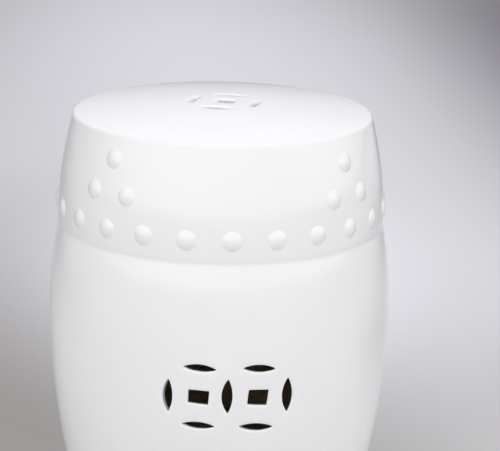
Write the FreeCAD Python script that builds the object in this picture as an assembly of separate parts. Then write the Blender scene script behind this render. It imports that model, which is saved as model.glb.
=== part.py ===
import FreeCAD, Part
import math
import os

# A ceramic garden stool of the drum pattern: two collars with rows of round bosses, a barrel
# between them and a crowned seat, pierced with coins. Millimetres, +Z up. The origin is the
# middle of the foot's bearing face, and the front pair of coins faces -Y.
# The clay pieces are formed one by one, luted together with slip, glazed and fired as one.

# Heights of the courses and of the seat's crown
lower_collar_height = 104.0
barrel_height = 245.0
upper_collar_height = 104.0
seat_crown = 10.0

# Outside radii from the foot up
foot_radius = 134.1
lower_ledge_radius = 148.6
belly_radius = 165.0
upper_ledge_radius = 156.4
rim_radius = 141.9

# The belly is the widest level, this far below the upper ledge
belly_drop = 94.0

# How far the sides lean from upright, in degrees
collar_end_angle = 13.7
collar_ledge_angle = 2.4
barrel_lower_angle = 10.9
barrel_upper_angle = 11.1

# Clay thicknesses
wall = 8.0
seat_thickness = 12.0
foot_thickness = 12.0
foot_ring_width = 30.0

# Rounded edges, wiped with a wet sponge before the glaze
rim_rounding = 4.0
foot_rounding = 3.0
ledge_rounding = 2.0

# Stepped joints: a tongue on each edge of the barrel, and a plug on the seat and the foot ring
tongue_height = 6.0
tongue_thickness = 4.0
plug_depth = 3.0

# Coils of clay pressed over the joints from inside
corner_coil_radius = 6.0
seam_coil_radius = 3.5

# Round bosses, set in a ring above each ledge, with pyramids of three more rising from it
boss_count = 24
boss_diameter = 19.0
boss_height = 2.7
boss_edge = 0.9
boss_seating = 2.5
ring_height = 19.8
row_height = 50.8
peak_height = 81.5
pyramid_count = 4
pyramid_angle = 45.0

# Coin cuts: each coin is a square hole inside a ring of four lens-shaped slots
coin_spacing = 54.4
coin_radius = 31.5
square_width = 18.0
square_height = 14.5
coin_sides = 2
seat_coin_spacing = 59.6
seat_coin_radius = 34.0
seat_coin_angle = -17.7
cut_margin = 6.0

# Two circles closer than this are one and the same edge
edge_match = 0.01

# Heights above the floor
lower_ledge = lower_collar_height
upper_ledge = lower_ledge + barrel_height
rim_level = upper_ledge + upper_collar_height
belly_level = upper_ledge - belly_drop
coin_level = (lower_ledge + upper_ledge) / 2.0
foot_joint = foot_thickness - plug_depth

AXIS = FreeCAD.Vector(0, 0, 1)
ORIGIN = FreeCAD.Vector(0, 0, 0)


def lean(degrees):
    """Slope of a side as radius gained per millimetre of height."""
    return math.tan(math.radians(degrees))


# Each course is a list of levels: height, outside radius and slope, smooth from one to the next
lower_course = [
    (0.0, foot_radius, lean(collar_end_angle)),
    (lower_ledge, lower_ledge_radius, -lean(collar_ledge_angle)),
]
barrel_course = [
    (lower_ledge, lower_ledge_radius, lean(barrel_lower_angle)),
    (belly_level, belly_radius, 0.0),
    (upper_ledge, upper_ledge_radius, -lean(barrel_upper_angle)),
]
upper_course = [
    (upper_ledge, upper_ledge_radius, lean(collar_ledge_angle)),
    (rim_level, rim_radius, -lean(collar_end_angle)),
]


def point(radius, height):
    """A point of a section, drawn in the XZ plane."""
    return FreeCAD.Vector(radius, 0, height)


def span_at(course, height):
    """The two levels of a course that a height lies between."""
    for low, high in zip(course, course[1:]):
        if height <= high[0]:
            return low, high
    return course[-2], course[-1]


def side_at(course, height):
    """Outside radius and slope of a course at a height, on its cubic curve."""
    low, high = span_at(course, height)
    rise = high[0] - low[0]
    t = (height - low[0]) / rise
    a = low[1]
    b = low[1] + low[2] * rise / 3.0
    c = high[1] - high[2] * rise / 3.0
    d = high[1]
    radius = a * (1 - t) ** 3 + 3 * b * t * (1 - t) ** 2 + 3 * c * t * t * (1 - t) + d * t ** 3
    slope = 3 * ((b - a) * (1 - t) ** 2 + 2 * (c - b) * t * (1 - t) + (d - c) * t * t) / rise
    return radius, slope


def radius_at(course, height, inset=0.0):
    """Radius of a course's outside face, or of the face that lies inset within it."""
    return side_at(course, height)[0] - inset


def side_edges(course, bottom, top, inset=0.0):
    """Edges that follow a course's side from a lower height to a higher one."""
    levels = [bottom] + [level[0] for level in course if bottom < level[0] < top] + [top]
    edges = []
    for z0, z1 in zip(levels, levels[1:]):
        middle = (z0 + z1) / 2.0
        low, high = span_at(course, middle)
        r0, s0 = side_at([low, high], z0)
        r1, s1 = side_at([low, high], z1)
        third = (z1 - z0) / 3.0
        curve = Part.BezierCurve()
        curve.setPoles([
            point(r0 - inset, z0),
            point(r0 - inset + s0 * third, z0 + third),
            point(r1 - inset - s1 * third, z1 - third),
            point(r1 - inset, z1),
        ])
        edges.append(curve.toShape())
    return edges


def line(start, end):
    return Part.LineSegment(start, end).toShape()


def straight_run(points):
    """Straight edges through points in order."""
    return [line(a, b) for a, b in zip(points, points[1:])]


def turned(edges):
    """Solid of revolution of a closed section."""
    face = Part.Face(Part.Wire(Part.sortEdges(edges)[0]))
    return face.revolve(ORIGIN, AXIS, 360)


def rounded(solid, radius, corner_radius, corner_height):
    """Rounds the circular edge of a turned solid that runs through one corner of its section."""
    found = []
    for edge in solid.Edges:
        if edge.Degenerated or edge.Curve.TypeId != "Part::GeomCircle":
            continue
        off_radius = abs(edge.Curve.Radius - corner_radius)
        off_height = abs(edge.Curve.Center.z - corner_height)
        if max(off_radius, off_height) < edge_match:
            found.append(edge)
    return solid.makeFillet(radius, found)


def dome_fall(rise, radius, reach):
    """Fall of a shallow dome from its middle out to a reach, where the dome rises by rise over
    a circle of radius."""
    sphere = (radius ** 2 + rise ** 2) / (2.0 * rise)
    return sphere - math.sqrt(sphere ** 2 - reach ** 2)


def dome_edge(middle, rise, radius, reach):
    """Section edge of a dome from its middle, at a height on the axis, out to a reach."""
    halfway = 0.5 * reach
    return Part.Arc(
        point(0, middle),
        point(halfway, middle - dome_fall(rise, radius, halfway)),
        point(reach, middle - dome_fall(rise, radius, reach)),
    ).toShape()


# The seat's underside follows its crown, and its plug drops plug_depth below the joint
seat_top = rim_level + seat_crown
seat_underside = seat_top - seat_thickness
seat_joint = seat_underside - dome_fall(seat_crown, rim_radius, rim_radius - wall) + plug_depth


def lens_outline(radius, spacing):
    """Slot left where two coins of this radius, spacing apart, would overlap: two arcs of the
    coins' circles, upright, at the origin of the XZ plane."""
    half_width = radius - spacing / 2.0
    half_length = math.sqrt(radius ** 2 - (spacing / 2.0) ** 2)
    tips = [point(0, -half_length), point(0, half_length)]
    right = Part.Arc(tips[0], point(half_width, 0), tips[1]).toShape()
    left = Part.Arc(tips[1], point(-half_width, 0), tips[0]).toShape()
    return Part.Face(Part.Wire([right, left]))


def square_outline():
    """The coin's square hole, a little wider than high, at the origin of the XZ plane."""
    corners = [
        point(-square_width / 2.0, -square_height / 2.0),
        point(square_width / 2.0, -square_height / 2.0),
        point(square_width / 2.0, square_height / 2.0),
        point(-square_width / 2.0, square_height / 2.0),
    ]
    return Part.Face(Part.Wire(straight_run(corners + corners[:1])))


def turn_about_y(shape, degrees):
    turned_shape = shape.copy()
    turned_shape.rotate(ORIGIN, FreeCAD.Vector(0, 1, 0), degrees)
    return turned_shape


def cut_through_wall(outline, across, up):
    """Tool for one cut, square to the wall of the barrel. The cut's middle lies across
    millimetres round the front from the coins' middle, and up above it."""
    height = coin_level + up
    outside = radius_at(barrel_course, height)
    tool = outline.copy()
    tool.translate(FreeCAD.Vector(0, -(outside - wall - cut_margin), height))
    tool = tool.extrude(FreeCAD.Vector(0, -(wall + 2.0 * cut_margin), 0))
    tool.rotate(ORIGIN, AXIS, math.degrees(across / outside))
    return tool


def coin_pair_tools():
    """Cuts of two coins side by side, which share the upright slot between them."""
    upright = lens_outline(coin_radius, coin_spacing)
    level = turn_about_y(upright, 90)
    half = coin_spacing / 2.0
    tools = [cut_through_wall(upright, place, 0) for place in (-2.0 * half, 0, 2.0 * half)]
    for middle in (-half, half):
        tools.append(cut_through_wall(square_outline(), middle, 0))
        tools.append(cut_through_wall(level, middle, half))
        tools.append(cut_through_wall(level, middle, -half))
    return tools


def seat_coin_tools():
    """Cuts of the single coin in the middle of the seat."""
    bottom = seat_joint - plug_depth - cut_margin
    depth = seat_top + cut_margin - bottom
    slot = lens_outline(seat_coin_radius, seat_coin_spacing)
    slot.translate(point(seat_coin_spacing / 2.0, 0))
    outlines = [square_outline()] + [turn_about_y(slot, 90.0 * quarter) for quarter in range(4)]
    tools = []
    for outline in outlines:
        flat = outline.copy()
        flat.rotate(ORIGIN, FreeCAD.Vector(1, 0, 0), -90)
        flat.rotate(ORIGIN, AXIS, seat_coin_angle)
        flat.translate(FreeCAD.Vector(0, 0, bottom))
        tools.append(flat.extrude(FreeCAD.Vector(0, 0, depth)))
    return tools


def make_seat():
    """Crowned slab that lies on the upper collar, with a plug that drops inside it."""
    joint_radius = radius_at(upper_course, seat_joint)
    plug_radius = joint_radius - wall
    plug_level = seat_underside - dome_fall(seat_crown, rim_radius, plug_radius)
    section = [
        dome_edge(seat_top, seat_crown, rim_radius, rim_radius),
        dome_edge(seat_underside, seat_crown, rim_radius, plug_radius),
        line(point(0, seat_underside), point(0, seat_top)),
    ]
    section += side_edges(upper_course, seat_joint, rim_level)
    section += straight_run([
        point(joint_radius, seat_joint),
        point(plug_radius, seat_joint),
        point(plug_radius, plug_level),
    ])
    seat = rounded(turned(section), rim_rounding, rim_radius, rim_level)
    return seat.cut(seat_coin_tools())


def make_collar(course, end_joint, ledge):
    """Collar from its joint with the seat or the foot ring to its ledge, where its inside is
    stepped to take the barrel's tongue."""
    towards = 1.0 if end_joint > ledge else -1.0
    step = ledge + towards * tongue_height
    ledge_radius = radius_at(course, ledge)
    step_radius = ledge_radius - (wall - tongue_thickness)
    bottom, top = sorted([ledge, end_joint])
    section = side_edges(course, bottom, top)
    bottom, top = sorted([step, end_joint])
    section += side_edges(course, bottom, top, wall)
    section.append(line(
        point(radius_at(course, end_joint), end_joint),
        point(radius_at(course, end_joint, wall), end_joint),
    ))
    section += straight_run([
        point(radius_at(course, step, wall), step),
        point(step_radius, step),
        point(step_radius, ledge),
        point(ledge_radius, ledge),
    ])
    return rounded(turned(section), ledge_rounding, ledge_radius, ledge)


def make_barrel():
    """Swelling wall between the ledges, with a tongue on each edge and the coins cut through."""
    section = side_edges(barrel_course, lower_ledge, upper_ledge)
    section += side_edges(barrel_course, lower_ledge, upper_ledge, wall)
    for course, ledge, towards in (
        (lower_course, lower_ledge, -1.0),
        (upper_course, upper_ledge, 1.0),
    ):
        ledge_radius = radius_at(course, ledge)
        step_radius = ledge_radius - (wall - tongue_thickness)
        tip = ledge + towards * tongue_height
        inside = radius_at(course, tip, wall)
        section += straight_run([
            point(ledge_radius, ledge),
            point(step_radius, ledge),
            point(step_radius, tip),
            point(inside, tip),
            point(ledge_radius - wall, ledge),
        ])
    barrel = turned(section)
    barrel = rounded(barrel, ledge_rounding, lower_ledge_radius, lower_ledge)
    barrel = rounded(barrel, ledge_rounding, upper_ledge_radius, upper_ledge)
    tools = []
    for side in range(coin_sides):
        for tool in coin_pair_tools():
            tool.rotate(ORIGIN, AXIS, side * 360.0 / coin_sides)
            tools.append(tool)
    return barrel.cut(tools)


def make_foot_ring():
    """Flat ring that the stool stands on, with a plug that rises inside the lower collar."""
    outside = radius_at(lower_course, foot_joint)
    plug_radius = radius_at(lower_course, foot_joint, wall)
    inside = foot_radius - foot_ring_width
    section = side_edges(lower_course, 0.0, foot_joint)
    section += straight_run([
        point(outside, foot_joint),
        point(plug_radius, foot_joint),
        point(plug_radius, foot_thickness),
        point(inside, foot_thickness),
        point(inside, 0.0),
        point(foot_radius, 0.0),
    ])
    return rounded(turned(section), foot_rounding, foot_radius, 0.0)


def make_boss(course, height, collar):
    """One domed boss at the front, square to the collar and cut to the collar's face."""
    radius = boss_diameter / 2.0
    section = straight_run([
        point(0, boss_height),
        point(0, -boss_seating),
        point(radius, -boss_seating),
        point(radius, boss_edge),
    ])
    section.append(dome_edge(boss_height, boss_height - boss_edge, radius, radius))
    boss = turned(section)
    outside, slope = side_at(course, height)
    boss.rotate(ORIGIN, FreeCAD.Vector(1, 0, 0), 90.0 + math.degrees(math.atan(slope)))
    boss.translate(FreeCAD.Vector(0, -outside, height))
    return boss.cut(collar)


def copies_round(shape, angles):
    """Copies of a shape turned about the stool's axis, kept as separate solids."""
    solids = []
    for angle in angles:
        copy = shape.copy()
        copy.rotate(ORIGIN, AXIS, angle)
        solids += copy.Solids
    return Part.makeCompound(solids)


def make_boss_groups(name, course, ledge, towards, collar):
    """Ring, row and peak bosses of one collar, by node name."""
    pitch = 360.0 / boss_count
    pyramids = [pyramid_angle + 360.0 / pyramid_count * i for i in range(pyramid_count)]
    places = {
        "boss_ring": (ring_height, [pitch * i for i in range(boss_count)]),
        "boss_row": (row_height, [a + s * pitch / 2.0 for a in pyramids for s in (-1, 1)]),
        "boss_peaks": (peak_height, pyramids),
    }
    groups = {}
    for group, (height, angles) in places.items():
        boss = make_boss(course, ledge + towards * height, collar)
        groups[name + "_" + group] = copies_round(boss, angles)
    return groups


def make_coils(nodes):
    """Coils pressed over the four joints from inside, by node name."""
    upper_tip = upper_ledge + tongue_height
    lower_tip = lower_ledge - tongue_height
    plug_bottom = seat_joint - plug_depth
    places = {
        "seat_coil": (upper_course, plug_bottom, corner_coil_radius, ["seat", "upper_collar"]),
        "upper_seam_coil": (upper_course, upper_tip, seam_coil_radius, ["upper_collar", "barrel"]),
        "lower_seam_coil": (lower_course, lower_tip, seam_coil_radius, ["lower_collar", "barrel"]),
        "foot_coil": (lower_course, foot_thickness, corner_coil_radius, ["foot_ring", "lower_collar"]),
    }
    coils = {}
    for name, (course, height, radius, neighbours) in places.items():
        ring = Part.makeTorus(radius_at(course, height, wall), radius, point(0, height), AXIS)
        coils[name] = ring.cut([nodes[neighbour] for neighbour in neighbours])
    return coils


def make_all():
    nodes = {
        "seat": make_seat(),
        "upper_collar": make_collar(upper_course, seat_joint, upper_ledge),
        "barrel": make_barrel(),
        "lower_collar": make_collar(lower_course, foot_joint, lower_ledge),
        "foot_ring": make_foot_ring(),
    }
    nodes.update(make_coils(nodes))
    for name, course, ledge, towards in (
        ("upper", upper_course, upper_ledge, 1.0),
        ("lower", lower_course, lower_ledge, -1.0),
    ):
        nodes.update(make_boss_groups(name, course, ledge, towards, nodes[name + "_collar"]))
    return nodes


os.makedirs("parts", exist_ok=True)
for node, shape in make_all().items():
    shape.exportStep("parts/" + node + ".step")
    print(node, "solids", len(shape.Solids), "volume", round(shape.Volume / 1000.0, 1), "cm3")
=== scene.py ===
import math

import bpy
import numpy as np
from mathutils import Matrix, Vector
from mathutils.geometry import delaunay_2d_cdt


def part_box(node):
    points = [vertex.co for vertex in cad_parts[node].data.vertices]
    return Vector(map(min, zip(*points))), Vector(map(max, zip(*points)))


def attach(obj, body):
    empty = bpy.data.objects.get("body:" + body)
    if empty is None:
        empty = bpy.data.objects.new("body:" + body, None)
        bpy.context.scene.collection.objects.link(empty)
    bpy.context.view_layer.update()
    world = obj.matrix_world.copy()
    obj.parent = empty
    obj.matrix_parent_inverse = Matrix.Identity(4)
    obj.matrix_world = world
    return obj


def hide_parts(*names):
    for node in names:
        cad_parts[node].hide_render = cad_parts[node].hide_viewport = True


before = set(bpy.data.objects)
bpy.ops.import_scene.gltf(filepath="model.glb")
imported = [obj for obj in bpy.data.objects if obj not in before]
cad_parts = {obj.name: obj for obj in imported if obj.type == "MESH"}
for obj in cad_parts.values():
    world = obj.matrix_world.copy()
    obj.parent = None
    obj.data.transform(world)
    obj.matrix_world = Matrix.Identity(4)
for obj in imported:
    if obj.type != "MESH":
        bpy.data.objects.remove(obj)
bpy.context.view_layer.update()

# White ceramic garden stool: slip-cast collars and barrel luted together, coins cut through the
# soft clay, round bosses pressed on, all dipped in a thick white glaze and fired.
# Sizes are millimetres and turn to metres when a mesh is made. The front, with its coins, faces -Y.
METRE = 0.001

# Levels taken from the solids
lower_ledge = round(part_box("lower_collar")[1].z / METRE, 1)
upper_ledge = round(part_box("upper_collar")[0].z / METRE, 1)
seat_top = round(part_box("seat")[1].z / METRE, 1)

# Other levels, the same as in the solids
seat_crown = 10.0
rim_level = seat_top - seat_crown
belly_level = upper_ledge - 94.0
seat_joint = 445.1
foot_joint = 9.0

# Outside radii from the foot up, and how far the sides lean from upright in degrees
foot_radius = 134.1
lower_ledge_radius = 148.6
belly_radius = 165.0
upper_ledge_radius = 156.4
rim_radius = 141.9
collar_end_angle = 13.7
collar_ledge_angle = 2.4
barrel_lower_angle = 10.9
barrel_upper_angle = 11.1

# Radius of the sphere that the seat's crown is a part of
crown_sphere = (rim_radius ** 2 + seat_crown ** 2) / (2.0 * seat_crown)

# Clay thicknesses, the stepped joints and the foot ring
wall = 8.0
seat_thickness = 12.0
foot_thickness = 12.0
foot_ring_width = 30.0
plug_depth = 3.0
tongue_height = 6.0
tongue_thickness = 4.0

# Rounded edges under the glaze
rim_rounding = 4.0
foot_rounding = 3.0
foot_inner_rounding = 1.5

# Seam under the glaze at each ledge: the collar laps a little over the barrel and its edge rolls
# in, the barrel's shoulder eases in over a long stretch to meet it, and the glaze softens the line
seam_lap = 1.2
seam_roll_depth = 0.35
seam_roll = 6.0
seam_shoulder = 80.0
seam_softness = 1.2

# Round bosses
boss_count = 24
boss_radius = 8.4
boss_side_angle = 26.0
boss_glaze = 3.8
boss_sink = 0.04
boss_seat = 1.5
boss_unevenness = 0.02
ring_height = 19.8
row_height = 50.8
peak_height = 81.5
pyramid_count = 4

# Coils pressed over the joints, the spacing of the thumb's presses, and how far the presses and
# the coil's own unevenness change its radius
corner_coil_radius = 6.0
seam_coil_radius = 3.5
press_spacing = 17.0
press_depth = 0.16
coil_unevenness = 0.05

# Density of the meshes. The side's rows draw together where they come within reach of a seam.
columns = 288
row_spacing = 4.0
seam_row_spacing = 0.4
seam_row_reach = 1.0
row_growth = 0.25
seat_rows = 26
underside_rows = 24
outline_spacing = 2.0
corner_steps = 5
clear_of_cuts = 2.4
boss_sides = 40
boss_dome_rows = 10
boss_glaze_rows = 7
coil_sides = 18


def lean(degrees):
    return math.tan(math.radians(degrees))


lower_course = [
    (0.0, foot_radius, lean(collar_end_angle)),
    (lower_ledge, lower_ledge_radius, -lean(collar_ledge_angle)),
]
barrel_course = [
    (lower_ledge, lower_ledge_radius, lean(barrel_lower_angle)),
    (belly_level, belly_radius, 0.0),
    (upper_ledge, upper_ledge_radius, -lean(barrel_upper_angle)),
]
upper_course = [
    (upper_ledge, upper_ledge_radius, lean(collar_ledge_angle)),
    (rim_level, rim_radius, -lean(collar_end_angle)),
]


def course_radius(course, heights):
    """Outside radius of the clay at heights, on the cubic curve from level to level."""
    heights = np.asarray(heights, float)
    radius = np.zeros_like(heights)
    for k, (low, high) in enumerate(zip(course, course[1:])):
        rise = high[0] - low[0]
        t = (heights - low[0]) / rise
        a, d = low[1], high[1]
        b, c = a + low[2] * rise / 3.0, d - high[2] * rise / 3.0
        curve = a * (1 - t) ** 3 + 3 * b * t * (1 - t) ** 2 + 3 * c * t * t * (1 - t) + d * t ** 3
        here = heights >= low[0] if k else np.ones_like(heights, bool)
        radius = np.where(here, curve, radius)
    return radius


def lap_over(radii, heights, course, ledge, towards):
    """Lays a collar's side over the barrel's at a ledge. towards is 1 where the collar is above."""
    line = ledge - towards * seam_lap
    distance = towards * (heights - line)
    collar = course_radius(course, heights)
    collar -= seam_roll_depth * np.clip(1.0 - distance / seam_roll, 0.0, 1.0) ** 2
    gap = float(course_radius(barrel_course, line) - course_radius(course, line)) + seam_roll_depth
    shoulder = radii - gap * np.clip(1.0 + distance / seam_shoulder, 0.0, 1.0) ** 2
    return np.where(distance > 0.0, collar, shoulder)


def soft_side():
    """Heights and radii of the glazed side from the foot to the rim, softened by the glaze."""
    step, margin = 0.1, 20.0
    heights = np.arange(-margin, rim_level + margin, step)
    radii = course_radius(barrel_course, heights)
    radii = lap_over(radii, heights, upper_course, upper_ledge, 1.0)
    radii = lap_over(radii, heights, lower_course, lower_ledge, -1.0)
    reach = int(4 * seam_softness / step)
    weights = np.exp(-0.5 * (np.arange(-reach, reach + 1) * step / seam_softness) ** 2)
    radii = np.convolve(np.pad(radii, reach, "edge"), weights / weights.sum(), "valid")
    return heights, radii


side_heights, side_radii = soft_side()
side_slopes = np.gradient(side_radii, side_heights)


def side_radius(height):
    return np.interp(height, side_heights, side_radii)


def side_slope(height):
    return np.interp(height, side_heights, side_slopes)


def inside_radius(height):
    """Radius of the bare clay inside."""
    course = course_radius(barrel_course, height)
    course = np.where(height > upper_ledge, course_radius(upper_course, height), course)
    course = np.where(height < lower_ledge, course_radius(lower_course, height), course)
    return course - wall


def dome_fall(reach):
    """How far the seat's dome has fallen at a distance from its middle."""
    return crown_sphere - np.sqrt(crown_sphere ** 2 - np.asarray(reach, float) ** 2)


def dome_slope(reach):
    reach = np.asarray(reach, float)
    return reach / np.sqrt(crown_sphere ** 2 - reach ** 2)


def unit(vectors):
    return vectors / np.linalg.norm(vectors, axis=-1, keepdims=True)


class StoolSide:
    """The side's clay, where a place is (across, height): across is measured round the outside or
    round the inside from the front, or from another azimuth that the side is turned to."""

    def __init__(self, turn=0.0):
        self.turn = math.radians(turn)

    def _point(self, angle, radius, height):
        angle = angle + self.turn
        return np.stack([radius * np.sin(angle), -radius * np.cos(angle), height], -1)

    def _axes(self, angle, slope):
        """Outward normal, direction across and direction up the side."""
        angle = angle + self.turn
        out = np.stack([np.sin(angle), -np.cos(angle), -slope], -1)
        across = np.stack([np.cos(angle), np.sin(angle), 0 * angle], -1)
        up = np.stack([slope * np.sin(angle), -slope * np.cos(angle), 1 + 0 * angle], -1)
        return unit(out), across, unit(up)

    def outside(self, place):
        radius = side_radius(place[:, 1])
        angle = place[:, 0] / radius
        normal, across, up = self._axes(angle, side_slope(place[:, 1]))
        return self._point(angle, radius, place[:, 1]), normal, across, up

    def inside(self, place):
        radius = inside_radius(place[:, 1])
        angle = place[:, 0] / radius
        normal, across, up = self._axes(angle, side_slope(place[:, 1]))
        return self._point(angle, radius, place[:, 1]), -normal, across, up

    def edge_rounding(self, out):
        """How round a cut's edge is where the direction out of the cut is out."""
        return side_edge + (lower_edge - side_edge) * np.clip(-out[:, 1], 0.0, 1.0)

    def clay_left(self, point):
        """Above zero while a point that moves inwards is still in the clay."""
        return np.hypot(point[:, 0], point[:, 1]) - inside_radius(point[:, 2])

    def _unrolled(self, point, radius):
        angle = np.arctan2(point[:, 0], -point[:, 1]) - self.turn
        angle = (angle + math.pi) % (2 * math.pi) - math.pi
        return np.stack([angle * radius, point[:, 2]], -1)

    def inside_place(self, point):
        return self._unrolled(point, inside_radius(point[:, 2]))

    def flat(self, point):
        """Coordinates in which the wall is unrolled to be meshed."""
        return self._unrolled(point, belly_radius)


class SeatSlab:
    """The seat's crowned slab, where a place is (x, y)."""

    def _surface(self, place, middle, facing):
        reach = np.hypot(place[:, 0], place[:, 1])
        point = np.column_stack([place, middle - dome_fall(reach)])
        slope = place / np.sqrt(crown_sphere ** 2 - reach ** 2)[:, None]
        normal = unit(np.column_stack([slope, np.ones(len(place))]))
        x_way = unit(np.column_stack([np.ones(len(place)), 0 * reach, -slope[:, 0]]))
        y_way = unit(np.column_stack([0 * reach, np.ones(len(place)), -slope[:, 1]]))
        return point, facing * normal, x_way, y_way

    def outside(self, place):
        return self._surface(place, seat_top, 1.0)

    def inside(self, place):
        return self._surface(place, seat_top - seat_thickness, -1.0)

    def edge_rounding(self, out):
        """How round a cut's edge is: most on the edges that face left and right."""
        return seat_edge + (seat_side_edge - seat_edge) * np.abs(out[:, 0])

    def clay_left(self, point):
        reach = np.hypot(point[:, 0], point[:, 1])
        return point[:, 2] - (seat_top - seat_thickness - dome_fall(reach))

    def inside_place(self, point):
        return point[:, :2]

    def flat(self, point):
        return point[:, :2]


class Clay:
    """A piece's mesh while it is built: points, faces, the normal at each face's corners, and
    whether a face is glazed or bare."""

    def __init__(self):
        self.points = np.zeros((0, 3))
        self.parts = []

    def add_points(self, points):
        first = len(self.points)
        self.points = np.vstack([self.points, np.reshape(points, (-1, 3))])
        return np.arange(first, len(self.points)).reshape(np.shape(points)[:-1])

    def add_faces(self, corners, normals, finish):
        """Faces of three or four corners, each turned so that it faces along its normals."""
        corners, normals = np.asarray(corners), np.asarray(normals)
        if not len(corners):
            return
        p = self.points[corners]
        facing = np.cross(p[:, 1] - p[:, 0], p[:, 2] - p[:, 0])
        facing += np.cross(p[:, -1] - p[:, -2], p[:, 0] - p[:, -2])
        wrong = (facing * normals.sum(1)).sum(1) < 0
        corners[wrong] = corners[wrong][:, ::-1]
        normals[wrong] = normals[wrong][:, ::-1]
        self.parts.append((corners, normals, finish))

    def add_strip(self, lower, upper, lower_normals, upper_normals, finish, closed=True, skip=None):
        """Faces between two rows of points."""
        count = len(lower) if closed else len(lower) - 1
        here = np.arange(count)
        after = (here + 1) % len(lower)
        corners = np.stack([lower[here], lower[after], upper[after], upper[here]], -1)
        normals = np.stack([lower_normals[here], lower_normals[after],
                            upper_normals[after], upper_normals[here]], 1)
        keep = np.ones(count, bool) if skip is None else ~skip
        self.add_faces(corners[keep], normals[keep], finish)

    def make_object(self, name, materials):
        """The finished object, in metres. Points that no face uses are left out."""
        used = np.unique(np.concatenate([corners.ravel() for corners, _, _ in self.parts]))
        number = np.zeros(len(self.points), int)
        number[used] = np.arange(len(used))
        faces, normals, finishes = [], [], []
        for corners, corner_normals, finish in self.parts:
            faces += number[corners].tolist()
            normals += corner_normals.reshape(-1, 3).tolist()
            finishes += [finish] * len(corners)
        mesh = bpy.data.meshes.new(name)
        mesh.from_pydata((self.points[used] * METRE).tolist(), [], faces)
        for material in materials:
            mesh.materials.append(material)
        mesh.polygons.foreach_set("material_index", finishes)
        mesh.polygons.foreach_set("use_smooth", [True] * len(faces))
        mesh.normals_split_custom_set(normals)
        obj = bpy.data.objects.new(name, mesh)
        bpy.context.scene.collection.objects.link(obj)
        return obj


GLAZED, BARE = 0, 1
column_angles = np.arange(columns) * 2 * math.pi / columns


def by_rows(values):
    """Values of rows round the axis, one for each row or one for each of its points."""
    values = np.atleast_1d(values)
    return values if values.ndim == 2 else values[:, None]


def turned_rows(clay, radii, heights):
    """Rows of points round the axis."""
    radii, heights = by_rows(radii), by_rows(heights)
    x = radii * np.sin(column_angles)
    y = -radii * np.cos(column_angles)
    return clay.add_points(np.stack([x, y, heights + 0 * x], -1))


def turned_normals(out, up):
    """Normals of rows round the axis from their outward and upward parts."""
    out, up = by_rows(out), by_rows(up)
    x = out * np.sin(column_angles)
    y = -out * np.cos(column_angles)
    return unit(np.stack([x, y, up + 0 * x], -1))


def turn_section(clay, sections, closed=True, skips=None):
    """Turns a section round the axis. Each stretch of the section has its radii, heights,
    outward and upward parts of its normals, and a finish, and starts where the last one ended.
    skips gives, for a stretch, the faces that a patch takes: a table of rows by columns."""
    rows = []
    first = last = None
    for k, (radii, heights, out, up, finish) in enumerate(sections):
        ids = turned_rows(clay, radii, heights)
        if last is not None:
            ids[0] = last
        if closed and k == len(sections) - 1:
            ids[-1] = first
        first = ids[0] if first is None else first
        last = ids[-1]
        normals = turned_normals(out, up)
        skip = (skips or {}).get(k)
        for i in range(len(ids) - 1):
            taken = None if skip is None else skip[i]
            clay.add_strip(ids[i], ids[i + 1], normals[i], normals[i + 1], finish, skip=taken)
        rows.append((ids, normals))
    return rows


def straight(start, end, finish):
    """A straight stretch of a section from one (radius, height) to another, with the clay on its
    left as the outside runs upwards."""
    along = np.subtract(end, start)
    out, up = along[1], -along[0]
    length = math.hypot(out, up)
    return ([start[0], end[0]], [start[1], end[1]],
            [out / length] * 2, [up / length] * 2, finish)


def path(corners, finish):
    """Straight stretches of a section from corner to corner."""
    return [straight(start, end, finish) for start, end in zip(corners, corners[1:])]


def side_stretch(heights, finish):
    """The glazed side along rows of heights."""
    slope = side_slope(heights)
    return side_radius(heights), heights, np.ones_like(slope), -slope, finish


def inside_stretch(heights, finish):
    slope = side_slope(heights)
    return inside_radius(heights), heights, -np.ones_like(slope), slope, finish


def circles_meet(middle_a, radius_a, middle_b, radius_b, near):
    """The point where two circles cross that lies nearer to near."""
    apart = middle_b - middle_a
    distance = np.linalg.norm(apart)
    along = (distance ** 2 + radius_a ** 2 - radius_b ** 2) / (2 * distance)
    off = math.sqrt(max(radius_a ** 2 - along ** 2, 0.0))
    foot = middle_a + apart * along / distance
    side = np.array([-apart[1], apart[0]]) / distance
    return min((foot + off * side, foot - off * side), key=lambda p: np.linalg.norm(p - near))


# How round the slots' tips and the holes' corners are, and how far a hole's sides swell
slot_corner = 0.6
hole_corner = 0.9
hole_swell = 0.12


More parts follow.
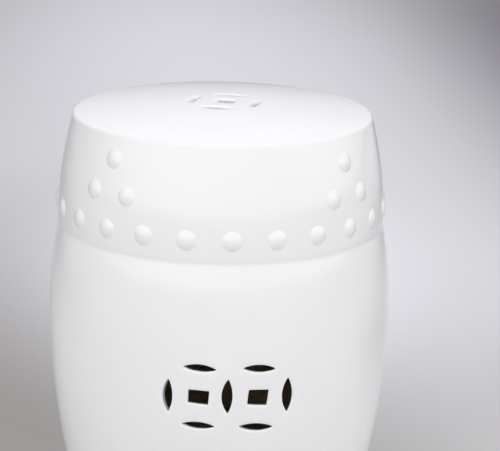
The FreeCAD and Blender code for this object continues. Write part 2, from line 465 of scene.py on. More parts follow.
def cut_outline(corners, bulges, corner_radius):
    """Outline of a cut with arcs for sides and rounded corners. corners go round to the left and
    the side after each swells by its bulge. Gives the outline drawn in by corner_radius, the
    direction out of the cut at each of its points, and corner_radius: the outline at any distance
    is points + directions times corner_radius + distance."""
    corners = np.asarray(corners, float)
    count = len(corners)
    arcs = []
    for a, b, bulge in zip(corners, np.roll(corners, -1, 0), bulges):
        chord = b - a
        length = np.linalg.norm(chord)
        radius = (length ** 2 / 4 + bulge ** 2) / (2 * bulge)
        out = np.array([chord[1], -chord[0]]) / length
        arcs.append(((a + b) / 2 - out * (radius - bulge), radius - corner_radius))
    inner = [circles_meet(*arcs[k - 1], *arcs[k], corners[k]) for k in range(count)]
    points, directions = [], []
    for k in range(count):
        middle, radius = arcs[k]
        ends = [inner[k] - middle, inner[(k + 1) % count] - middle]
        start, finish = (math.atan2(v[1], v[0]) for v in ends)
        finish = start + (finish - start) % (2 * math.pi)
        steps = max(3, math.ceil(radius * (finish - start) / outline_spacing))
        for angle in np.linspace(start, finish, steps + 1):
            direction = np.array([math.cos(angle), math.sin(angle)])
            points.append(middle + radius * direction)
            directions.append(direction)
        next_middle = arcs[(k + 1) % count][0]
        turn_to = inner[(k + 1) % count] - next_middle
        turn_to = math.atan2(turn_to[1], turn_to[0])
        turn_to = finish + (turn_to - finish) % (2 * math.pi)
        for angle in np.linspace(finish, turn_to, corner_steps + 2)[1:-1]:
            points.append(inner[(k + 1) % count])
            directions.append(np.array([math.cos(angle), math.sin(angle)]))
    return np.array(points), np.array(directions), corner_radius


def turned_flat(points, degrees):
    c, s = math.cos(math.radians(degrees)), math.sin(math.radians(degrees))
    return np.asarray(points) @ np.array([[c, s], [-s, c]])


def slot_outline(middle, length, bulges, tilt):
    """A lens-shaped slot with a lower and an upper bulge, level before it is tilted leftwards."""
    ends = turned_flat([(-length / 2, 0), (length / 2, 0)], tilt) + np.asarray(middle)
    return cut_outline(ends, bulges, slot_corner)


def hole_outline(corners):
    """The coin's four-cornered hole, its sides barely swollen."""
    return cut_outline(corners, [hole_swell] * 4, hole_corner)


# How round a cut's edges are. The glaze ran down over the lower edges of the cuts in the side and
# left them rounder. In the level seat it lies thick, most of all on the left and right edges. The
# rows of a rounded edge are parts of its radius, and the flat ones beyond it are distances.
side_edge = 0.7
lower_edge = 2.0
seat_edge = 1.4
seat_side_edge = 4.2
inner_edge = 0.7
edge_steps = (0.0, 0.05, 0.19, 0.38, 0.61, 0.85)
flat_steps = (4.3, 5.0)
wall_steps = 4


def edge_rows(surface, core, out, corner_radius, inwards, rounding):
    """Rows of points and normals from a cut's edge out to the flat surface. rounding is the
    radius of the rounded edge at each point of the outline."""
    rows = []
    distances = [step * rounding for step in edge_steps]
    distances += [np.full(len(core), step) for step in flat_steps]
    for distance in distances:
        place = core + out * (corner_radius + distance)[:, None]
        point, normal, across, up = surface(place)
        left = np.clip(rounding - distance, 0.0, None)
        fall = rounding - np.sqrt(rounding ** 2 - left ** 2)
        turn = (left / rounding)[:, None]
        towards = -(out[:, :1] * across + out[:, 1:] * up)
        towards = unit(towards - (towards @ inwards)[:, None] * inwards)
        normal = unit(normal * np.sqrt(1 - turn ** 2) + towards * turn)
        rows.append((point + fall[:, None] * inwards, normal))
    return rows


def depth_to_inside(slab, start, inwards):
    """Length of the cut from each start point to the inside of the clay, found by halving."""
    low, high = np.zeros(len(start)), np.full(len(start), 3.0 * seat_thickness)
    for _ in range(40):
        middle = (low + high) / 2
        still = slab.clay_left(start + middle[:, None] * inwards) > 0
        low, high = np.where(still, middle, low), np.where(still, high, middle)
    return low


def cut_through(clay, slab, cut):
    """One cut: rounded outer edge, glazed walls and softened inner edge. Gives the outermost row
    of points on either side of the clay, which the surface round the cut is joined to."""
    core, out, corner_radius, inwards = cut
    inwards = np.asarray(inwards, float)
    outer = edge_rows(slab.outside, core, out, corner_radius, inwards, slab.edge_rounding(out))
    start, wall_normal = outer[0]
    depth = depth_to_inside(slab, start, inwards)
    inside_core = slab.inside_place(start + depth[:, None] * inwards) - out * corner_radius
    softened = np.full(len(out), inner_edge)
    inner = edge_rows(slab.inside, inside_core, out, corner_radius, -inwards, softened)
    end = inner[0][0]
    walls = [(start + (end - start) * k / wall_steps, wall_normal)
             for k in range(1, wall_steps + 1)]
    chain = outer[::-1] + walls + inner[1:]
    finishes = [GLAZED] * (len(outer) + wall_steps) + [BARE] * len(inner)
    rows = [clay.add_points(points) for points, _ in chain]
    for k in range(len(rows) - 1):
        clay.add_strip(rows[k], rows[k + 1], chain[k][1], chain[k + 1][1], finishes[k])
    return rows[0], rows[-1]


def inside_loop(points, loop):
    """Which of the flat points lie inside a closed loop."""
    x, y = points[:, 0][:, None], points[:, 1][:, None]
    x0, y0 = loop[:, 0], loop[:, 1]
    x1, y1 = np.roll(x0, -1), np.roll(y0, -1)
    crosses = (y0 > y) != (y1 > y)
    with np.errstate(divide="ignore", invalid="ignore"):
        at = x0 + (y - y0) * (x1 - x0) / (y1 - y0)
    return (crosses & (x < at)).sum(1) % 2 == 1


def fill_round(clay, slab, border, loops, spare, normal_of, finish):
    """Fills the surface between a border and the loops round the cuts with triangles, through
    the spare points that lie clear of the loops."""
    flat_loops = [slab.flat(clay.points[loop]) for loop in loops]
    flat_spare = slab.flat(clay.points[spare])
    clear = np.ones(len(spare), bool)
    for loop in flat_loops:
        near = np.linalg.norm(flat_spare[:, None] - loop[None], axis=-1).min(1) < clear_of_cuts
        clear &= ~near & ~inside_loop(flat_spare, loop)
    ids = np.concatenate([border, *loops, spare[clear]])
    flat = slab.flat(clay.points[ids])
    edges, first = [], 0
    for ring in [border, *loops]:
        count = len(ring)
        edges += [(first + k, first + (k + 1) % count) for k in range(count)]
        first += count
    found = delaunay_2d_cdt([Vector(p) for p in flat], edges, [], 0, 1e-6)
    source = [origin[0] for origin in found[3]]
    faces = np.array([[source[c] for c in face] for face in found[2]])
    middle = flat[faces].mean(1)
    keep = inside_loop(middle, flat[:len(border)])
    for loop in flat_loops:
        keep &= ~inside_loop(middle, loop)
    corners = ids[faces[keep]]
    clay.add_faces(corners, normal_of(clay.points[corners]), finish)


def arc(middle, radius, start, end, finish, steps=6):
    """A rounded edge of a section about a middle, between two directions in degrees from level."""
    turns = np.radians(np.linspace(start, end, steps + 1))
    out, up = np.cos(turns), np.sin(turns)
    return middle[0] + radius * out, middle[1] + radius * up, out, up, finish


def side_rows(bottom, top):
    """Heights of the side's rows from bottom to top, closer together near the seams."""
    heights = [bottom]
    while heights[-1] < top:
        ledge = min((lower_ledge, upper_ledge), key=lambda level: abs(level - heights[-1]))
        gap = abs(heights[-1] - ledge)
        step = seam_row_spacing + row_growth * max(gap - seam_row_reach, 0.0)
        heights.append(heights[-1] + min(row_spacing, step))
    if top - heights[-2] < 0.5 * (heights[-1] - heights[-2]):
        heights.pop()
    return np.array(heights[:-1] + [top])


def side_normals(points):
    """Outward normals of the glazed side at points on it."""
    radius = np.hypot(points[..., 0], points[..., 1])
    slope = side_slope(points[..., 2])
    return unit(np.stack([points[..., 0] / radius, points[..., 1] / radius, -slope], -1))


def dome_normals(points, facing):
    """Normals of the seat's dome at points on it, or of its underside where facing is -1."""
    reach_squared = (points[..., :2] ** 2).sum(-1)
    across = points[..., :2] / np.sqrt(crown_sphere ** 2 - reach_squared)[..., None]
    return facing * unit(np.concatenate([across, np.ones(points.shape[:-1] + (1,))], -1))


# The front pair of coins as it was cut by hand, with the knife held a little downwards: places
# across from the front line and up from the upper ledge, and the azimuth of each cut
knife_fall = 15.0
right_hand_cut = -4.0
front_slots = [
    # middle, length, bulges below and above (right and left when upright), tilt, azimuth of the cut
    ((-27.9, -95.9), 31.0, (2.8, 3.95), -3.3, -18.0),
    ((26.0, -96.4), 31.0, (3.0, 3.85), -3.5, -15.0),
    ((-28.6, -151.4), 31.0, (3.0, 3.4), -2.5, -18.0),
    ((24.0, -153.1), 32.6, (3.5, 3.6), -3.5, -15.0),
    ((-56.3, -123.8), 32.0, (3.8, 5.4), 90.0, -18.0),
    ((-1.7, -122.2), 33.4, (4.0, 5.9), 89.8, right_hand_cut),
    ((53.6, -123.9), 33.5, (4.5, 5.3), 89.2, right_hand_cut),
]
front_holes = [
    (((-38.0, -129.0), (-19.8, -130.5), (-18.8, -117.4), (-37.6, -116.5)), -9.0),
    (((15.8, -130.2), (33.5, -132.0), (35.3, -117.0), (17.1, -116.3)), right_hand_cut),
]


def heading(azimuth, fall):
    """Direction inwards of a cut made at an azimuth from the front, falling below level."""
    turn, fall = math.radians(azimuth), math.radians(fall)
    return (-math.sin(turn) * math.cos(fall), math.cos(turn) * math.cos(fall), -math.sin(fall))


def front_cuts(turn=0.0):
    """The pair of coins, cut as the front pair is, on the side that faces turn degrees round."""
    cuts = []
    for (across, up), length, bulges, tilt, azimuth in front_slots:
        outline = slot_outline((across, upper_ledge + up), length, bulges, tilt)
        cuts.append((*outline, heading(azimuth + turn, knife_fall)))
    for corners, azimuth in front_holes:
        outline = hole_outline([(across, upper_ledge + up) for across, up in corners])
        cuts.append((*outline, heading(azimuth + turn, knife_fall)))
    return cuts


# The window of the wall that is meshed round each pair of coins
window_columns = 20
window_bottom = upper_ledge - 174.0
window_top = upper_ledge - 80.0


def pierce_side(clay, outside_rows, inside_rows, turn):
    """Cuts a pair of coins through the barrel on the side that faces turn degrees round."""
    side = StoolSide(turn)
    pairs = [cut_through(clay, side, cut) for cut in front_cuts(turn)]
    middle_column = round(turn / 360.0 * columns)
    across = np.arange(middle_column - window_columns, middle_column + window_columns + 1) % columns
    for rows, which, facing, finish in (
        (outside_rows, 0, 1.0, GLAZED),
        (inside_rows, 1, -1.0, BARE),
    ):
        ids, low, high = rows
        border = np.concatenate([ids[low, across[:-1]], ids[low:high, across[-1]],
                                 ids[high, across[:0:-1]], ids[high:low:-1, across[0]]])
        spare = ids[low + 1:high, across[1:-1]].ravel()
        loops = [pair[which] for pair in pairs]
        fill_round(clay, side, border, loops, spare, lambda p: facing * side_normals(p), finish)


def window_of(heights):
    """First and last row of the window, and which faces between rows it takes."""
    inside = np.flatnonzero((heights > window_bottom) & (heights < window_top))
    low, high = inside[0], inside[-1]
    taken = np.zeros((len(heights) - 1, columns), bool)
    for middle in (0, columns // 2):
        across = np.arange(middle - window_columns, middle + window_columns) % columns
        taken[low:high, across] = True
    return low, high, taken


def make_barrel():
    clay = Clay()
    outside_heights = side_rows(lower_ledge, upper_ledge)
    upper_tip, lower_tip = upper_ledge + tongue_height, lower_ledge - tongue_height
    inside_heights = side_rows(lower_tip, upper_tip)[::-1]
    upper_step = upper_ledge_radius - (wall - tongue_thickness)
    lower_step = lower_ledge_radius - (wall - tongue_thickness)
    out_low, out_high, out_taken = window_of(outside_heights)
    in_low, in_high, in_taken = window_of(inside_heights)
    sections = [
        side_stretch(outside_heights, GLAZED),
        *path([(side_radius(upper_ledge), upper_ledge), (upper_step, upper_ledge),
               (upper_step, upper_tip), (inside_radius(upper_tip), upper_tip)], BARE),
        inside_stretch(inside_heights, BARE),
        *path([(inside_radius(lower_tip), lower_tip), (lower_step, lower_tip),
               (lower_step, lower_ledge), (side_radius(lower_ledge), lower_ledge)], BARE),
    ]
    rows = turn_section(clay, sections, skips={0: out_taken, 4: in_taken})
    for turn in (0.0, 180.0):
        pierce_side(clay, (rows[0][0], out_low, out_high), (rows[4][0], in_low, in_high), turn)
    return clay


def make_collar(end_joint, ledge, ledge_radius):
    """Upper collar, or the lower one, which is its mirror image with a longer taper."""
    clay = Clay()
    towards = 1.0 if end_joint > ledge else -1.0
    tip = ledge + towards * tongue_height
    step = ledge_radius - (wall - tongue_thickness)
    outer = side_stretch(side_rows(min(ledge, end_joint), max(ledge, end_joint)), GLAZED)
    inner = inside_stretch(side_rows(min(tip, end_joint), max(tip, end_joint))[::-1], BARE)
    end_corners = [(side_radius(end_joint), end_joint), (inside_radius(end_joint), end_joint)]
    ledge_corners = [(inside_radius(tip), tip), (step, tip), (step, ledge),
                     (side_radius(ledge), ledge)]
    if towards > 0:
        sections = [outer, *path(end_corners, BARE), inner, *path(ledge_corners, BARE)]
    else:
        sections = [outer, *path(ledge_corners[::-1], BARE), inner,
                    *path(end_corners[::-1], BARE)]
    turn_section(clay, sections)
    return clay


# The coin in the middle of the seat: a little off the middle, and turned. Its slots to the left
# and right are narrower than the other two, and the knife was leant over: its azimuth and fall for
# those slots, and for the other cuts.
seat_coin_middle = (1.2, 0.0)
seat_coin_angle = -17.7
seat_slot_length = 32.0
seat_slot_bulges = (2.4, 4.4)
seat_knife = ((162.0, 52.0), (-55.0, 68.0))
seat_slot_reach = 29.8
seat_hole = (16.4, 14.5)
seat_patch_radius = 50.0


def seat_cuts():
    cuts = []
    for quarter in range(4):
        angle = seat_coin_angle + 90.0 * quarter
        middle = turned_flat([(seat_slot_reach, 0.0)], angle)[0] + seat_coin_middle
        bulges = [seat_slot_bulges[quarter % 2]] * 2
        outline = slot_outline(middle, seat_slot_length, bulges, angle + 90.0)
        cuts.append((*outline, heading(*seat_knife[quarter % 2])))
    x, y = seat_hole[0] / 2, seat_hole[1] / 2
    corners = turned_flat([(-x, -y), (x, -y), (x, y), (-x, y)], seat_coin_angle) + seat_coin_middle
    cuts.append((*hole_outline(corners), heading(*seat_knife[1])))
    return cuts


def make_seat():
    clay = Clay()
    slab = SeatSlab()
    underside = seat_top - seat_thickness
    plug_radius = float(inside_radius(seat_joint))
    plug_level = seat_joint - plug_depth
    dome_angle = math.degrees(math.atan(dome_slope(rim_radius)))
    side_turn = math.radians(collar_end_angle)
    dome_turn = math.radians(90.0 - dome_angle)
    side_way = np.array([math.cos(side_turn), math.sin(side_turn)])
    dome_way = np.array([math.cos(dome_turn), math.sin(dome_turn)])
    middle = np.array([rim_radius, rim_level])
    middle = middle - (side_way + dome_way) * rim_rounding / (1 + side_way @ dome_way)
    rim_side, rim_dome = middle + rim_rounding * side_way, middle + rim_rounding * dome_way
    under_radii = np.linspace(seat_patch_radius, plug_radius, underside_rows)
    top_radii = np.linspace(rim_dome[0], seat_patch_radius, seat_rows)
    under_slope, top_slope = dome_slope(under_radii), dome_slope(top_radii)
    sections = [
        (under_radii, underside - dome_fall(under_radii), -under_slope, -1 + 0 * under_radii, BARE),
        *path([(plug_radius, plug_level), (plug_radius, seat_joint),
               (side_radius(seat_joint), seat_joint)], BARE),
        side_stretch(side_rows(seat_joint, rim_side[1]), GLAZED),
        arc(middle, rim_rounding, collar_end_angle, 90.0 - dome_angle, GLAZED, steps=10),
        (top_radii, seat_top - dome_fall(top_radii), top_slope, 1 + 0 * top_radii, GLAZED),
    ]
    rows = turn_section(clay, sections, closed=False)
    pairs = [cut_through(clay, slab, cut) for cut in seat_cuts()]
    steps = np.arange(-seat_patch_radius, seat_patch_radius, row_spacing)
    x, y = np.meshgrid(steps, steps)
    spots = np.column_stack([x.ravel(), y.ravel()])
    spots = spots[np.linalg.norm(spots, axis=1) < seat_patch_radius - 0.6 * row_spacing]
    for which, ring, surface, facing, finish in (
        (0, rows[5][0][-1], slab.outside, 1.0, GLAZED),
        (1, rows[0][0][0], slab.inside, -1.0, BARE),
    ):
        spare = clay.add_points(surface(spots)[0])
        loops = [pair[which] for pair in pairs]
        fill_round(clay, slab, ring, loops, spare, lambda p: dome_normals(p, facing), finish)
    return clay


# The foot is wiped clean, and the glaze stops in an uneven line above the floor: the line's
# height, the glaze's thickness, how high its rounded edge is, and the line's waves by their number
# round the foot, height and start
glaze_line = 4.6
glaze_thickness = 0.5
glaze_edge_height = 0.8
glaze_waves = ((5, 0.35, 0.4), (13, 0.25, 1.9), (37, 0.12, 0.7))


def glaze_edge():
    """The thick edge of the glaze, from the wiped clay under it out to the glazed side."""
    wave = sum(size * np.sin(number * column_angles + start) for number, size, start in glaze_waves)
    turns = np.radians(np.linspace(-90.0, 0.0, 6))[:, None]
    heights = glaze_line + wave + glaze_edge_height * np.sin(turns)
    slope = side_slope(heights)
    depth = glaze_thickness * (1.0 - np.cos(turns))
    out, up = np.cos(turns) + 0 * wave, np.sin(turns) - slope * np.cos(turns)
    return side_radius(heights) - depth, heights, out, up, GLAZED


def make_foot_ring():
    clay = Clay()
    inside = foot_radius - foot_ring_width
    plug_radius = float(inside_radius(foot_joint))
    side_turn = math.radians(-collar_end_angle)
    side_way = np.array([math.cos(side_turn), math.sin(side_turn)])
    down = np.array([0.0, -1.0])
    middle = np.array([foot_radius - glaze_thickness, 0.0])
    middle = middle - (side_way + down) * foot_rounding / (1 + side_way @ down)
    bottom_edge, wiped_edge = middle + foot_rounding * down, middle + foot_rounding * side_way
    soft = foot_inner_rounding
    edge = glaze_edge()
    wiped = np.stack([0 * column_angles + wiped_edge[1], edge[1][0]])
    slope = side_slope(wiped)
    sections = [
        straight((inside + soft, 0.0), tuple(bottom_edge), BARE),
        arc(middle, foot_rounding, -90.0, -collar_end_angle, BARE, steps=8),
        (side_radius(wiped) - glaze_thickness, wiped, 1 + 0 * slope, -slope, BARE),
        edge,
        side_stretch(np.stack([edge[1][-1], 0 * column_angles + foot_joint]), GLAZED),
        *path([(side_radius(foot_joint), foot_joint), (plug_radius, foot_joint),
               (plug_radius, foot_thickness), (inside + soft, foot_thickness)], BARE),
        arc((inside + soft, foot_thickness - soft), soft, 90.0, 180.0, BARE),
        straight((inside, foot_thickness - soft), (inside, soft), BARE),
        arc((inside + soft, soft), soft, 180.0, 270.0, BARE),
    ]
    turn_section(clay, sections)
    return clay


def make_bosses(places, seed):
    """Round bosses pressed on at places round the side: azimuth in degrees and height. Each is a
    low dome, and the glaze fills the corner round it."""
    clay = Clay()
    side_turn = math.radians(boss_side_angle)
    sphere = boss_radius / math.sin(side_turn)
    dome_turns = np.linspace(0.0, side_turn, boss_dome_rows)[1:]
    reach = sphere * np.sin(dome_turns)
    fall = sphere * (1 - np.cos(dome_turns))
    slope = np.tan(dome_turns)
    glaze_turns = np.linspace(side_turn, 0.0, boss_glaze_rows)[1:]
    glaze_reach = reach[-1] + boss_glaze * (math.sin(side_turn) - np.sin(glaze_turns))
    glaze_fall = fall[-1] + boss_glaze * (np.cos(glaze_turns) - math.cos(side_turn))
    reach = np.concatenate([reach, glaze_reach])
    fall = np.concatenate([fall, glaze_fall])
    slope = np.concatenate([slope, np.tan(glaze_turns)])
    crown = fall[-1]
    here = np.arange(boss_sides)
    after = (here + 1) % boss_sides
    directions = here * 2 * math.pi / boss_sides
    out = np.column_stack([np.cos(directions), np.sin(directions)])
    random = np.random.default_rng(seed)
    for azimuth, height in places:
        side = StoolSide(azimuth)
        size = 1.0 + random.uniform(-boss_unevenness, boss_unevenness)
        middle = np.array([0.0, height])
        rows = []
        for r, f, s in zip(reach * size, fall, slope):
            point, normal, across, up = side.outside(middle + r * out)
            radial = out[:, :1] * across + out[:, 1:] * up
            rows.append((point + (crown - f - boss_sink) * normal, unit(normal + s * radial)))
        top, top_normal, _, _ = side.outside(middle[None])
        top_id = clay.add_points(top + (crown - boss_sink) * top_normal)[0]
        ids = [clay.add_points(points) for points, _ in rows]
        fan = np.stack([np.full(boss_sides, top_id), ids[0][here], ids[0][after]], -1)
        normals = rows[0][1]
        top_normals = np.repeat(top_normal, boss_sides, 0)
        clay.add_faces(fan, np.stack([top_normals, normals[here], normals[after]], 1), GLAZED)
        for k in range(len(rows) - 1):
            clay.add_strip(ids[k], ids[k + 1], rows[k][1], rows[k + 1][1], GLAZED)
        back_points, back_normal, _, _ = side.outside(middle + reach[-1] * size * out)
        back_ids = clay.add_points(back_points - boss_seat * back_normal)
        radial = unit(back_points - top)
        clay.add_strip(ids[-1], back_ids, radial, radial, BARE)
        back_middle = clay.add_points(top - boss_seat * top_normal)[0]
        fan = np.stack([np.full(boss_sides, back_middle), back_ids[here], back_ids[after]], -1)
        clay.add_faces(fan, np.repeat(-top_normals[:, None], 3, 1), BARE)
    return clay


def make_coil(height, radius, seed):
    """A coil of soft clay pressed over a joint from inside with the thumb, so it is uneven."""
    clay = Clay()
    random = np.random.default_rng(seed)
    ring = float(inside_radius(height))
    presses = round(2 * math.pi * ring / press_spacing)
    phase = random.uniform(0, 2 * math.pi, 3)
    shift = 1.5 * np.sin(5 * column_angles + phase[0])
    press = 0.5 + 0.5 * np.sin(presses * column_angles + shift)
    drift = np.sin(3 * column_angles + phase[1]) + np.sin(8 * column_angles + phase[2])
    swell = radius * (1.0 - press_depth * press + coil_unevenness * drift)
    section = np.arange(coil_sides) * 2 * math.pi / coil_sides
    rows, normals = [], []
    for turn in section:
        radii = ring + swell * math.cos(turn)
        x, y = radii * np.sin(column_angles), -radii * np.cos(column_angles)
        rows.append(clay.add_points(np.stack([x, y, height + swell * math.sin(turn)], -1)))
        normals.append(turned_normals(math.cos(turn), math.sin(turn))[0])
    for k in range(coil_sides):
        after = (k + 1) % coil_sides
        clay.add_strip(rows[k], rows[after], normals[k], normals[after], BARE)
    return clay


def linear(hex_colour):
    """A colour written as sRGB hex, turned to the linear values that a shader takes."""
    channels = [int(hex_colour[k:k + 2], 16) / 255.0 for k in (1, 3, 5)]
    return [c / 12.92 if c <= 0.04045 else ((c + 0.055) / 1.055) ** 2.4 for c in channels] + [1.0]


def add_node(tree, kind, inputs=None, **settings):
    """One node with its settings. An input takes a value, or a socket that it is joined to."""
    node = tree.nodes.new(kind)
    for name, value in settings.items():
        setattr(node, name, value)
    for name, value in (inputs or {}).items():
        if isinstance(value, bpy.types.NodeSocket):
            tree.links.new(value, node.inputs[name])
        else:
            node.inputs[name].default_value = value
    return node


def new_material(name):
    material = bpy.data.materials.new(name)
    material.use_nodes = True
    material.node_tree.nodes.clear()
    return material, material.node_tree


def per_metre(size):
    """Scale of a pattern whose features are size millimetres apart."""
    return 1.0 / (size * METRE)


def white_glaze():
    """White tin-opacified feldspathic glaze, dipped thick and fired glossy: an even cool white
    that is a touch greyer where it runs thin, with a faint roll in its mirror-like skin."""
    material, tree = new_material("white_glaze")
    place = add_node(tree, "ShaderNodeTexCoord").outputs["Object"]
    run = add_node(tree, "ShaderNodeTexNoise", {
        "Vector": place, "Scale": per_metre(55.0), "Detail": 2.0, "Roughness": 0.5})
    tone = add_node(tree, "ShaderNodeMix", {
        "Factor": run.outputs["Fac"], "A": linear("#F1F1F2"), "B": linear("#F5F5F6")},
        data_type="RGBA")
    roll = add_node(tree, "ShaderNodeTexNoise", {
        "Vector": place, "Scale": per_metre(22.0), "Detail": 1.0, "Roughness": 0.4})
    skin = add_node(tree, "ShaderNodeBump", {
        "Strength": 1.0, "Distance": 0.04 * METRE, "Height": roll.outputs["Fac"]})
    gloss = add_node(tree, "ShaderNodeMapRange", {
        "Value": run.outputs["Fac"], "From Min": 0.3, "From Max": 0.7,
        "To Min": 0.09, "To Max": 0.13})
    surface = add_node(tree, "ShaderNodeBsdfPrincipled", {
        "Base Color": tone.outputs["Result"], "Roughness": gloss.outputs["Result"],
        "IOR": 1.52, "Normal": skin.outputs["Normal"]})
    add_node(tree, "ShaderNodeOutputMaterial", {"Surface": surface.outputs["BSDF"]})
    return material


def bare_clay():
    """Unglazed pale buff stoneware, slip-cast and sponged inside: matt, fine-grained, with darker
    iron specks and faint sponge ripples."""
    material, tree = new_material("bare_clay")
    place = add_node(tree, "ShaderNodeTexCoord").outputs["Object"]
    firing = add_node(tree, "ShaderNodeTexNoise", {
        "Vector": place, "Scale": per_metre(40.0), "Detail": 4.0, "Roughness": 0.55})
    body = add_node(tree, "ShaderNodeMix", {
        "Factor": firing.outputs["Fac"], "A": linear("#E5D3BA"), "B": linear("#F0E0CA")},
        data_type="RGBA")
    speck = add_node(tree, "ShaderNodeTexVoronoi", {
        "Vector": place, "Scale": per_metre(5.0)}, feature="F1")
    iron = add_node(tree, "ShaderNodeMapRange", {
        "Value": speck.outputs["Distance"], "From Min": 0.10, "From Max": 0.16,
        "To Min": 0.7, "To Max": 0.0})
    spotted = add_node(tree, "ShaderNodeMix", {
        "Factor": iron.outputs["Result"], "A": body.outputs["Result"], "B": linear("#8F765E")},
        data_type="RGBA")
    grain = add_node(tree, "ShaderNodeTexNoise", {
        "Vector": place, "Scale": per_metre(1.6), "Detail": 3.0, "Roughness": 0.6})
    ripple = add_node(tree, "ShaderNodeTexNoise", {
        "Vector": place, "Scale": per_metre(18.0), "Detail": 1.0})
    rough = add_node(tree, "ShaderNodeBump", {
        "Strength": 0.6, "Distance": 0.25 * METRE, "Height": grain.outputs["Fac"]})
    sponged = add_node(tree, "ShaderNodeBump", {
        "Strength": 0.8, "Distance": 1.0 * METRE, "Height": ripple.outputs["Fac"],
        "Normal": rough.outputs["Normal"]})
    surface = add_node(tree, "ShaderNodeBsdfPrincipled", {
        "Base Color": spotted.outputs["Result"], "Roughness": 0.9, "IOR": 1.5,
        "Normal": sponged.outputs["Normal"]})
    add_node(tree, "ShaderNodeOutputMaterial", {"Surface": surface.outputs["BSDF"]})
    return material


def place_piece(name, clay, slot, *nodes):
    """Puts a finished piece in the scene in place of the solids that it stands for."""
    obj = clay.make_object(name, (glaze, body) if slot == "white_glaze" else (body, body))
    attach(obj, "root")
    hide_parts(*nodes)


glaze = white_glaze()
body = bare_clay()

place_piece("glazed_seat", make_seat(), "white_glaze", "seat")
place_piece("glazed_upper_collar", make_collar(seat_joint, upper_ledge, upper_ledge_radius),
            "white_glaze", "upper_collar")
place_piece("pierced_barrel", make_barrel(), "white_glaze", "barrel")
place_piece("glazed_lower_collar", make_collar(foot_joint, lower_ledge, lower_ledge_radius),
            "white_glaze", "lower_collar")
place_piece("bare_foot_ring", make_foot_ring(), "white_glaze", "foot_ring")

coils = (
    ("seat_coil", seat_joint - plug_depth, corner_coil_radius),
    ("upper_seam_coil", upper_ledge + tongue_height, seam_coil_radius),
    ("lower_seam_coil", lower_ledge - tongue_height, seam_coil_radius),
    ("foot_coil", foot_thickness, corner_coil_radius),
)
for seed, (node, height, radius) in enumerate(coils):
    place_piece("pressed_" + node, make_coil(height, radius, seed), "bare_clay", node)

# Bosses by azimuth and height: a ring round each ledge, and pyramids of three more over it. The
# front left pyramid was pressed on a little high, and the right one a little low.
pitch = 360.0 / boss_count
pyramid_lift = {0: -1.6, 3: 1.2}
for collar, ledge, towards in (("upper", upper_ledge, 1.0), ("lower", lower_ledge, -1.0)):
    pyramids = [45.0 + 90.0 * k for k in range(pyramid_count)]
    lifts = [pyramid_lift.get(k, 0.0) if collar == "upper" else 0.0 for k in range(pyramid_count)]
    ring = [(pitch * k, ledge + towards * ring_height) for k in range(boss_count)]
    row = [(azimuth + side * pitch / 2, ledge + towards * row_height + lift)
           for azimuth, lift in zip(pyramids, lifts) for side in (-1, 1)]
    peaks = [(azimuth, ledge + towards * peak_height + lift)
             for azimuth, lift in zip(pyramids, lifts)]
    for seed, (group, places) in enumerate((("ring", ring), ("row", row), ("peaks", peaks))):
        node = collar + "_boss_" + group
        place_piece("glazed_" + node, make_bosses(places, seed), "white_glaze", node)


# Light and shade painted into the paper sweep, laid over each other: colour, middle and reach on
# the floor in metres, and how much of the tone is laid. The pale tones are painted pools of light,
# the dark one round the stool's back is a painted shadow, and the other dark ones are painted shade
# that falls off to the sides. The last six lie mostly beside the view, where the glaze mirrors them
# as painted reflections.
sweep_tone = "#8F8F90"
sweep_painted_light_and_shade = (
    ("#CFCECF", (0.48, 0.02), (2.33, 3.64), 0.82),
    ("#7A7772", (-0.11, 0.57), (0.80, 1.26), 1.00),
    ("#E3E5ED", (0.10, 0.93), (0.49, 0.81), 0.76),
    ("#545059", (1.08, 2.10), (0.69, 3.03), 1.00),
    ("#E7E5ED", (0.10, 2.80), (1.12, 3.48), 0.54),
    ("#2E2D2E", (-1.25, 1.45), (0.95, 1.60), 1.00),
    ("#2E2D2E", (-2.10, 2.90), (1.50, 1.50), 0.80),
    ("#B4B4B6", (-0.60, 0.10), (0.38, 0.70), 0.80),
    ("#2E2D2E", (0.80, 0.33), (0.48, 0.62), 0.85),
    ("#2E2D2E", (1.50, 1.00), (0.90, 0.90), 0.60),
    ("#C8C8CA", (3.20, 3.00), (2.20, 2.20), 0.90),
)
sweep_glow = 0.35
sweep_reach = 10.0


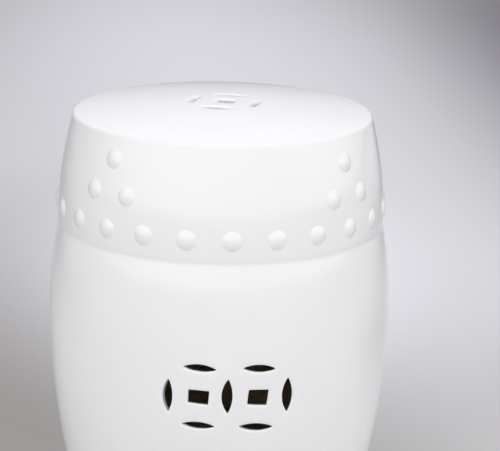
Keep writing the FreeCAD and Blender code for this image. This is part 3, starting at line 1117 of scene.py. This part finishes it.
def painted_light_sweep():
    """Matt pale paper with light and shade painted into its colour: painted light brightest behind
    the stool, painted shade falling off softly to the sides, and a painted shadow round the stool.
    It glows a little where it is seen or mirrored, and still takes the stool's shadow."""
    material, tree = new_material("painted_light_sweep")
    place = add_node(tree, "ShaderNodeTexCoord").outputs["Object"]
    tone = linear(sweep_tone)
    # Each layer paints a pool of light or a patch of shade into the paper's colour
    for colour, (x, y), (reach_x, reach_y), amount in sweep_painted_light_and_shade:
        spot = add_node(tree, "ShaderNodeMapping", {
            "Vector": place, "Location": (x, y, 0.0), "Scale": (reach_x, reach_y, 1.0)},
            vector_type="TEXTURE")
        away = add_node(tree, "ShaderNodeVectorMath", {
            0: spot.outputs["Vector"]}, operation="LENGTH")
        fade = add_node(tree, "ShaderNodeMapRange", {
            "Value": away.outputs["Value"], "From Min": 0.0, "From Max": 1.0,
            "To Min": amount, "To Max": 0.0}, interpolation_type="SMOOTHSTEP")
        layer = add_node(tree, "ShaderNodeMix", {
            "Factor": fade.outputs["Result"], "A": tone, "B": linear(colour)}, data_type="RGBA")
        tone = layer.outputs["Result"]
    paper = add_node(tree, "ShaderNodeBsdfDiffuse", {"Color": tone})
    ray = add_node(tree, "ShaderNodeLightPath")
    seen = add_node(tree, "ShaderNodeMath", {
        0: ray.outputs["Is Camera Ray"], 1: ray.outputs["Is Glossy Ray"]}, operation="ADD")
    seen = add_node(tree, "ShaderNodeMath", {
        0: seen.outputs["Value"], 1: ray.outputs["Is Transmission Ray"]}, operation="ADD")
    strength = add_node(tree, "ShaderNodeMath", {
        0: seen.outputs["Value"], 1: sweep_glow}, operation="MULTIPLY")
    glow = add_node(tree, "ShaderNodeEmission", {
        "Color": tone, "Strength": strength.outputs["Value"]})
    both = add_node(tree, "ShaderNodeAddShader", {
        0: paper.outputs["BSDF"], 1: glow.outputs["Emission"]})
    add_node(tree, "ShaderNodeOutputMaterial", {"Surface": both.outputs["Shader"]})
    return material


def make_floor():
    mesh = bpy.data.meshes.new("floor")
    far = sweep_reach
    mesh.from_pydata([(-far, -far, 0), (far, -far, 0), (far, far, 0), (-far, far, 0)],
                     [], [(0, 1, 2, 3)])
    mesh.materials.append(painted_light_sweep())
    floor = bpy.data.objects.new("floor", mesh)
    bpy.context.scene.collection.objects.link(floor)


# Soft light from the tent round the stool: azimuth from the front, to the right, and height above
# level in degrees, how narrowly it comes, its strength and its tint
tent_lights = (
    (-50.0, 15.0, 3.0, 1.74, "#FFFFFF"),
    (45.0, 15.0, 3.0, 1.07, "#FFFFFF"),
    (-4.0, 0.0, 6.0, 0.56, "#FFFFFF"),
    (-95.0, 10.0, 4.0, 0.28, "#FFFFFF"),
    (88.0, 10.0, 4.0, 1.28, "#FFFFFF"),
    (176.0, 20.0, 4.0, 0.60, "#F7F5FF"),
    (176.0, 50.0, 6.0, 1.14, "#FCFBFF"),
)


def make_world():
    """White tent: its walls are broad soft lights that fade into each other."""
    world = bpy.data.worlds.new("white_tent")
    bpy.context.scene.world = world
    world.use_nodes = True
    tree = world.node_tree
    tree.nodes.clear()
    towards = add_node(tree, "ShaderNodeTexCoord").outputs["Generated"]
    total = (0.0, 0.0, 0.0)
    for azimuth, height, narrow, strength, tint in tent_lights:
        turn, rise = math.radians(azimuth), math.radians(height)
        middle = (math.sin(turn) * math.cos(rise), -math.cos(turn) * math.cos(rise), math.sin(rise))
        facing = add_node(tree, "ShaderNodeVectorMath", {
            0: towards, 1: middle}, operation="DOT_PRODUCT")
        facing = add_node(tree, "ShaderNodeMath", {
            0: facing.outputs["Value"], 1: 0.0}, operation="MAXIMUM")
        fade = add_node(tree, "ShaderNodeMath", {
            0: facing.outputs["Value"], 1: narrow}, operation="POWER")
        colour = [strength * channel for channel in linear(tint)[:3]]
        light = add_node(tree, "ShaderNodeVectorMath", {
            0: fade.outputs["Value"], 1: colour, 2: total}, operation="MULTIPLY_ADD")
        total = light.outputs["Vector"]
    walls = add_node(tree, "ShaderNodeBackground", {"Color": total, "Strength": 1.0})
    add_node(tree, "ShaderNodeOutputWorld", {"Surface": walls.outputs["Background"]})


def add_softbox(name, middle, aim, size, power):
    """A rectangular softbox at a place in metres, turned to face a point."""
    lamp = bpy.data.lights.new(name, "AREA")
    lamp.shape = "RECTANGLE"
    lamp.size, lamp.size_y = size
    lamp.energy = power
    obj = bpy.data.objects.new(name, lamp)
    obj.location = middle
    obj.rotation_euler = (Vector(aim) - Vector(middle)).to_track_quat("-Z", "Y").to_euler()
    bpy.context.scene.collection.objects.link(obj)


def make_camera():
    """The camera of the photograph, found from the outline, the bosses and the ledge."""
    eye = Vector((-0.1167, -1.7386, 0.8328))
    pan, tilt, roll = 0.0832, 0.2753, 0.0225
    ahead = math.cos(tilt)
    forward = Vector((math.sin(pan) * ahead, math.cos(pan) * ahead, -math.sin(tilt)))
    level = Vector((math.cos(pan), -math.sin(pan), 0.0))
    above = level.cross(forward)
    right = level * math.cos(roll) + above * math.sin(roll)
    up = above * math.cos(roll) - level * math.sin(roll)
    data = bpy.data.cameras.new("camera")
    data.sensor_width = 36.0
    data.lens = 135.03
    camera = bpy.data.objects.new("camera", data)
    turn = Matrix((right, up, -forward)).transposed()
    camera.matrix_world = Matrix.Translation(eye) @ turn.to_4x4()
    bpy.context.scene.collection.objects.link(camera)
    bpy.context.scene.camera = camera


make_floor()
make_world()
add_softbox("top_softbox", (-0.15, -0.8, 1.5), (0.0, 0.0, 0.3), (1.2, 1.2), 3.2)
make_camera()
bpy.context.scene.view_settings.view_transform = "Standard"
